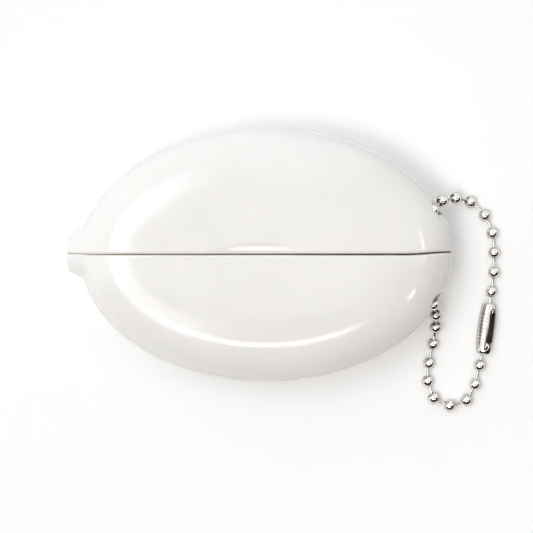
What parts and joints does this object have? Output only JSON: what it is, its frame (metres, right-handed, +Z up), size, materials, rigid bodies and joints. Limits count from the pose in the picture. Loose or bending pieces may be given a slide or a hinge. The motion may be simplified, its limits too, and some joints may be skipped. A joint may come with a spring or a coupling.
{
  "type": "coin pouch",
  "caption": "Oval squeeze coin pouch of soft moulded plastic that opens along a slit, with a ball chain loop through a hole in one end.",
  "frame": {"origin": "middle of the flat back, on the surface that the pouch lies on", "axes": "+X along the slit towards the chain, +Y across the slit, +Z up out of the front"},
  "size_m": [0.0875, 0.057, 0.0175],
  "materials": {
    "vinyl": "glossy off-white moulded vinyl",
    "nickel": "bright nickel plate"
  },
  "bodies": {
    "pouch": {"pouch_back": "vinyl"},
    "upper_lip": {"upper_lip": "vinyl"},
    "lower_lip": {"lower_lip": "vinyl"},
    "hole_chain": {"hole_ball_1": "nickel", "hole_ball_2": "nickel", "hole_ball_3": "nickel", "hole_ball_4": "nickel", "hole_ball_5": "nickel", "hole_ball_6": "nickel", "hole_pin_1": "nickel", "hole_pin_2": "nickel", "hole_pin_3": "nickel", "hole_pin_4": "nickel", "hole_pin_5": "nickel"},
    "upper_pin_1": {"upper_pin_1": "nickel"},
    "upper_ball_1": {"upper_ball_1": "nickel"},
    "upper_pin_2": {"upper_pin_2": "nickel"},
    "upper_ball_2": {"upper_ball_2": "nickel"},
    "upper_pin_3": {"upper_pin_3": "nickel"},
    "upper_ball_3": {"upper_ball_3": "nickel"},
    "upper_pin_4": {"upper_pin_4": "nickel"},
    "upper_ball_4": {"upper_ball_4": "nickel"},
    "upper_pin_5": {"upper_pin_5": "nickel"},
    "upper_ball_5": {"upper_ball_5": "nickel"},
    "upper_pin_6": {"upper_pin_6": "nickel"},
    "upper_ball_6": {"upper_ball_6": "nickel"},
    "upper_pin_7": {"upper_pin_7": "nickel"},
    "upper_ball_7": {"upper_ball_7": "nickel"},
    "upper_pin_8": {"upper_pin_8": "nickel"},
    "upper_ball_8": {"upper_ball_8": "nickel"},
    "upper_pin_9": {"upper_pin_9": "nickel"},
    "sleeve_ball_1": {"sleeve_ball_1": "nickel"},
    "lower_pin_1": {"lower_pin_1": "nickel"},
    "lower_ball_1": {"lower_ball_1": "nickel"},
    "lower_pin_2": {"lower_pin_2": "nickel"},
    "lower_ball_2": {"lower_ball_2": "nickel"},
    "lower_pin_3": {"lower_pin_3": "nickel"},
    "lower_ball_3": {"lower_ball_3": "nickel"},
    "lower_pin_4": {"lower_pin_4": "nickel"},
    "lower_ball_4": {"lower_ball_4": "nickel"},
    "lower_pin_5": {"lower_pin_5": "nickel"},
    "lower_ball_5": {"lower_ball_5": "nickel"},
    "lower_pin_6": {"lower_pin_6": "nickel"},
    "lower_ball_6": {"lower_ball_6": "nickel"},
    "lower_pin_7": {"lower_pin_7": "nickel"},
    "lower_ball_7": {"lower_ball_7": "nickel"},
    "lower_pin_8": {"lower_pin_8": "nickel"},
    "lower_ball_8": {"lower_ball_8": "nickel"},
    "lower_pin_9": {"lower_pin_9": "nickel"},
    "lower_ball_9": {"lower_ball_9": "nickel"},
    "lower_pin_10": {"lower_pin_10": "nickel"},
    "lower_ball_10": {"lower_ball_10": "nickel", "lower_pin_11": "nickel"},
    "sleeve": {"sleeve": "nickel", "sleeve_ball_2": "nickel"}
  },
  "joints": [
    {"name": "upper_lip_open", "type": "slide", "parent": "pouch", "child": "upper_lip", "axis": [0, 1, 0], "range_m": [0, 0.006], "stiffness_N_per_m": 600, "springref_m": -0.001},
    {"name": "lower_lip_open", "type": "slide", "parent": "pouch", "child": "lower_lip", "axis": [0, -1, 0], "range_m": [0, 0.006], "stiffness_N_per_m": 600, "springref_m": -0.001},
    {"name": "hole_chain_swing", "type": "hinge", "parent": "pouch", "child": "hole_chain", "pos_m": [0.03329, 0, 0.0083], "axis": [0, -1, 0], "range_deg": [-5, 85]},
    {"name": "upper_pin_1_lift", "type": "hinge", "parent": "hole_chain", "child": "upper_pin_1", "pos_m": [0.03341, 0.00916, 0.00765], "axis": [-0.9386, 0.345, 0], "range_deg": [-39, 3]},
    {"name": "upper_ball_1_swing", "type": "hinge", "parent": "upper_pin_1", "child": "upper_ball_1", "pos_m": [0.03508, 0.0106, 0.00568], "axis": [0.5668, 0.2907, 0.7709], "range_deg": [0, 39]},
    {"name": "upper_pin_2_lift", "type": "hinge", "parent": "upper_ball_1", "child": "upper_pin_2", "pos_m": [0.03561, 0.01087, 0.00518], "axis": [0.4563, -0.8898, 0], "range_deg": [-31, 28]},
    {"name": "upper_ball_2_swing", "type": "hinge", "parent": "upper_pin_2", "child": "upper_ball_2", "pos_m": [0.03793, 0.01136, 0.00342], "axis": [-0.5725, 0.009, -0.8199], "range_deg": [-39, 19]},
    {"name": "upper_pin_3_lift", "type": "hinge", "parent": "upper_ball_2", "child": "upper_pin_3", "pos_m": [0.03859, 0.01135, 0.00295], "axis": [0.0157, 0.9999, 0], "range_deg": [-28, 31]},
    {"name": "upper_ball_3_swing", "type": "hinge", "parent": "upper_pin_3", "child": "upper_ball_3", "pos_m": [0.04102, 0.01083, 0.00134], "axis": [0.2455, -0.1374, 0.9596], "range_deg": [-14, 39]},
    {"name": "upper_pin_4_lift", "type": "hinge", "parent": "upper_ball_3", "child": "upper_pin_4", "pos_m": [0.04179, 0.0104, 0.00108], "axis": [-0.4883, -0.8727, 0], "range_deg": [-39, 10]},
    {"name": "upper_ball_4_swing", "type": "hinge", "parent": "upper_pin_4", "child": "upper_ball_4", "pos_m": [0.04395, 0.00838, 0.00122], "axis": [0, 0, -1], "range_deg": [-39, 14]},
    {"name": "upper_pin_5_lift", "type": "hinge", "parent": "upper_ball_4", "child": "upper_pin_5", "pos_m": [0.04452, 0.00756, 0.00122], "axis": [0.8192, 0.5736, 0], "range_deg": [-30, 29]},
    {"name": "upper_ball_5_swing", "type": "hinge", "parent": "upper_pin_5", "child": "upper_ball_5", "pos_m": [0.04565, 0.00482, 0.00122], "axis": [0, 0, 1], "range_deg": [-18, 38]},
    {"name": "upper_pin_6_lift", "type": "hinge", "parent": "upper_ball_5", "child": "upper_pin_6", "pos_m": [0.04589, 0.00385, 0.00122], "axis": [-0.9703, -0.2419, 0], "range_deg": [-29, 30]},
    {"name": "upper_ball_6_swing", "type": "hinge", "parent": "upper_pin_6", "child": "upper_ball_6", "pos_m": [0.0461, 0.0009, 0.00122], "axis": [0, 0, -1], "range_deg": [-31, 22]},
    {"name": "upper_pin_7_lift", "type": "hinge", "parent": "upper_ball_6", "child": "upper_pin_7", "pos_m": [0.04614, -0.0001, 0.00122], "axis": [0.9994, 0.0349, 0], "range_deg": [-29, 30]},
    {"name": "upper_ball_7_swing", "type": "hinge", "parent": "upper_pin_7", "child": "upper_ball_7", "pos_m": [0.04608, -0.00306, 0.00122], "axis": [0, 0, 1], "range_deg": [-26, 33]},
    {"name": "upper_pin_8_lift", "type": "hinge", "parent": "upper_ball_7", "child": "upper_pin_8", "pos_m": [0.04601, -0.00406, 0.00122], "axis": [-0.9976, 0.0698, 0], "range_deg": [-29, 30]},
    {"name": "upper_ball_8_swing", "type": "hinge", "parent": "upper_pin_8", "child": "upper_ball_8", "pos_m": [0.04564, -0.00699, 0.00119], "axis": [-0.0094, -0.0627, -0.998], "range_deg": [-31, 28]},
    {"name": "upper_pin_9_lift", "type": "hinge", "parent": "upper_ball_8", "child": "upper_pin_9", "pos_m": [0.04549, -0.00798, 0.00125], "axis": [0.989, -0.1477, 0], "range_deg": [-24, 35]},
    {"name": "sleeve_ball_1_swing", "type": "hinge", "parent": "upper_pin_9", "child": "sleeve_ball_1", "pos_m": [0.04495, -0.01085, 0.00172], "axis": [0, 0, 1], "range_deg": [-27, 20]},
    {"name": "lower_pin_1_lift", "type": "hinge", "parent": "hole_chain", "child": "lower_pin_1", "pos_m": [0.03333, -0.01033, 0.00765], "axis": [0.9916, 0.1294, 0], "range_deg": [0, 1]},
    {"name": "lower_ball_1_swing", "type": "hinge", "parent": "lower_pin_1", "child": "lower_ball_1", "pos_m": [0.034, -0.01199, 0.0053], "axis": [0.1468, -0.7352, 0.6618], "range_deg": [-23, 4]},
    {"name": "lower_pin_2_lift", "type": "hinge", "parent": "lower_ball_1", "child": "lower_pin_2", "pos_m": [0.03409, -0.01243, 0.00479], "axis": [0.9806, 0.1958, 0], "range_deg": [-29, 4]},
    {"name": "lower_ball_2_swing", "type": "hinge", "parent": "lower_pin_2", "child": "lower_ball_2", "pos_m": [0.03423, -0.01441, 0.00259], "axis": [0.0279, 0.5445, -0.8383], "range_deg": [-5, 23]},
    {"name": "lower_pin_3_lift", "type": "hinge", "parent": "lower_ball_2", "child": "lower_pin_3", "pos_m": [0.0342, -0.01498, 0.00222], "axis": [-0.9987, 0.0512, 0], "range_deg": [-39, 15]},
    {"name": "lower_ball_3_swing", "type": "hinge", "parent": "lower_pin_3", "child": "lower_ball_3", "pos_m": [0.0338, -0.01775, 0.00128], "axis": [-0.0289, -0.1632, 0.9862], "range_deg": [-28, 7]},
    {"name": "lower_pin_4_lift", "type": "hinge", "parent": "lower_ball_3", "child": "lower_pin_4", "pos_m": [0.03365, -0.01857, 0.00114], "axis": [0.9847, -0.1743, 0], "range_deg": [-18, 39]},
    {"name": "lower_ball_4_swing", "type": "hinge", "parent": "lower_pin_4", "child": "lower_ball_4", "pos_m": [0.03299, -0.02145, 0.00122], "axis": [0, 0, -1], "range_deg": [-4, 35]},
    {"name": "lower_pin_5_lift", "type": "hinge", "parent": "lower_ball_4", "child": "lower_pin_5", "pos_m": [0.03287, -0.02228, 0.00122], "axis": [-0.9903, 0.1388, 0], "range_deg": [-29, 30]},
    {"name": "lower_ball_5_swing", "type": "hinge", "parent": "lower_pin_5", "child": "lower_ball_5", "pos_m": [0.03262, -0.02523, 0.00122], "axis": [0, 0, 1], "range_deg": [-39, 1]},
    {"name": "lower_pin_6_lift", "type": "hinge", "parent": "lower_ball_5", "child": "lower_pin_6", "pos_m": [0.03272, -0.02591, 0.00122], "axis": [0.9902, 0.1396, 0], "range_deg": [-29, 30]},
    {"name": "lower_ball_6_swing", "type": "hinge", "parent": "lower_pin_6", "child": "lower_ball_6", "pos_m": [0.03368, -0.02871, 0.00122], "axis": [0, 0, -1], "range_deg": [-1, 39]},
    {"name": "lower_pin_7_lift", "type": "hinge", "parent": "lower_ball_6", "child": "lower_pin_7", "pos_m": [0.03413, -0.02921, 0.00122], "axis": [-0.7427, -0.6696, 0], "range_deg": [-23, 23]},
    {"name": "lower_ball_7_swing", "type": "hinge", "parent": "lower_pin_7", "child": "lower_ball_7", "pos_m": [0.03679, -0.03051, 0.00122], "axis": [0, 0, 1], "range_deg": [-39, 2]},
    {"name": "lower_pin_8_lift", "type": "hinge", "parent": "lower_ball_7", "child": "lower_pin_8", "pos_m": [0.03747, -0.03055, 0.00122], "axis": [0.069, 0.9976, 0], "range_deg": [-23, 23]},
    {"name": "lower_ball_8_swing", "type": "hinge", "parent": "lower_pin_8", "child": "lower_ball_8", "pos_m": [0.04029, -0.02964, 0.00122], "axis": [0, 0, -1], "range_deg": [-7, 39]},
    {"name": "lower_pin_9_lift", "type": "hinge", "parent": "lower_ball_8", "child": "lower_pin_9", "pos_m": [0.04081, -0.0292, 0.00122], "axis": [0.6435, -0.7654, 0], "range_deg": [-22, 22]},
    {"name": "lower_ball_9_swing", "type": "hinge", "parent": "lower_pin_9", "child": "lower_ball_9", "pos_m": [0.04212, -0.02654, 0.00122], "axis": [0, 0, 1], "range_deg": [-35, 24]},
    {"name": "lower_pin_10_lift", "type": "hinge", "parent": "lower_ball_9", "child": "lower_pin_10", "pos_m": [0.04242, -0.02576, 0.00122], "axis": [-0.934, 0.3573, 0], "range_deg": [-30, 29]},
    {"name": "lower_ball_10_swing", "type": "hinge", "parent": "lower_pin_10", "child": "lower_ball_10", "pos_m": [0.04308, -0.02287, 0.00119], "axis": [0.0142, 0.0618, -0.998], "range_deg": [-30, 29]},
    {"name": "sleeve_swivel", "type": "hinge", "parent": "sleeve_ball_1", "child": "sleeve", "pos_m": [0.04489, -0.01135, 0.00172], "axis": [-0.1219, -0.9925, 0], "continuous": true}
  ],
  "couplings": [
    {"joint": "lower_lip_open", "follows": "upper_lip_open", "ratio": 1}
  ]
}
